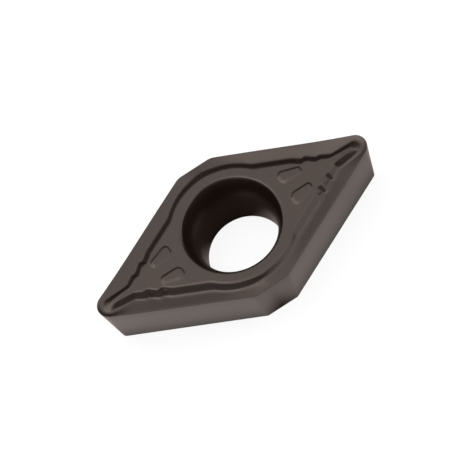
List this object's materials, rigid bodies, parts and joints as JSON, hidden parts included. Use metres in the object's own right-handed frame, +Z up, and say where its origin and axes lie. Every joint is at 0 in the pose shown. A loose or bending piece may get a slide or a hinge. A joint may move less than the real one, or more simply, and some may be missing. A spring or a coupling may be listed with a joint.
{
  "type": "carbide insert",
  "caption": "Rhombic indexable turning insert of cemented carbide, with relieved flanks, a countersunk screw hole and a pressed chip former.",
  "frame": {"origin": "on the hole's axis, in the plane of the seat", "axes": "+Z up along the hole to the chip former; X along the long diagonal from nose to nose; Y along the short diagonal"},
  "size_m": [0.0188, 0.0096, 0.0041],
  "materials": {
    "coated_carbide": "dark brown-grey vapour-deposited coating, semi-matte with a fine grain"
  },
  "bodies": {
    "root": {"insert_body": "coated_carbide"}
  },
  "joints": []
}
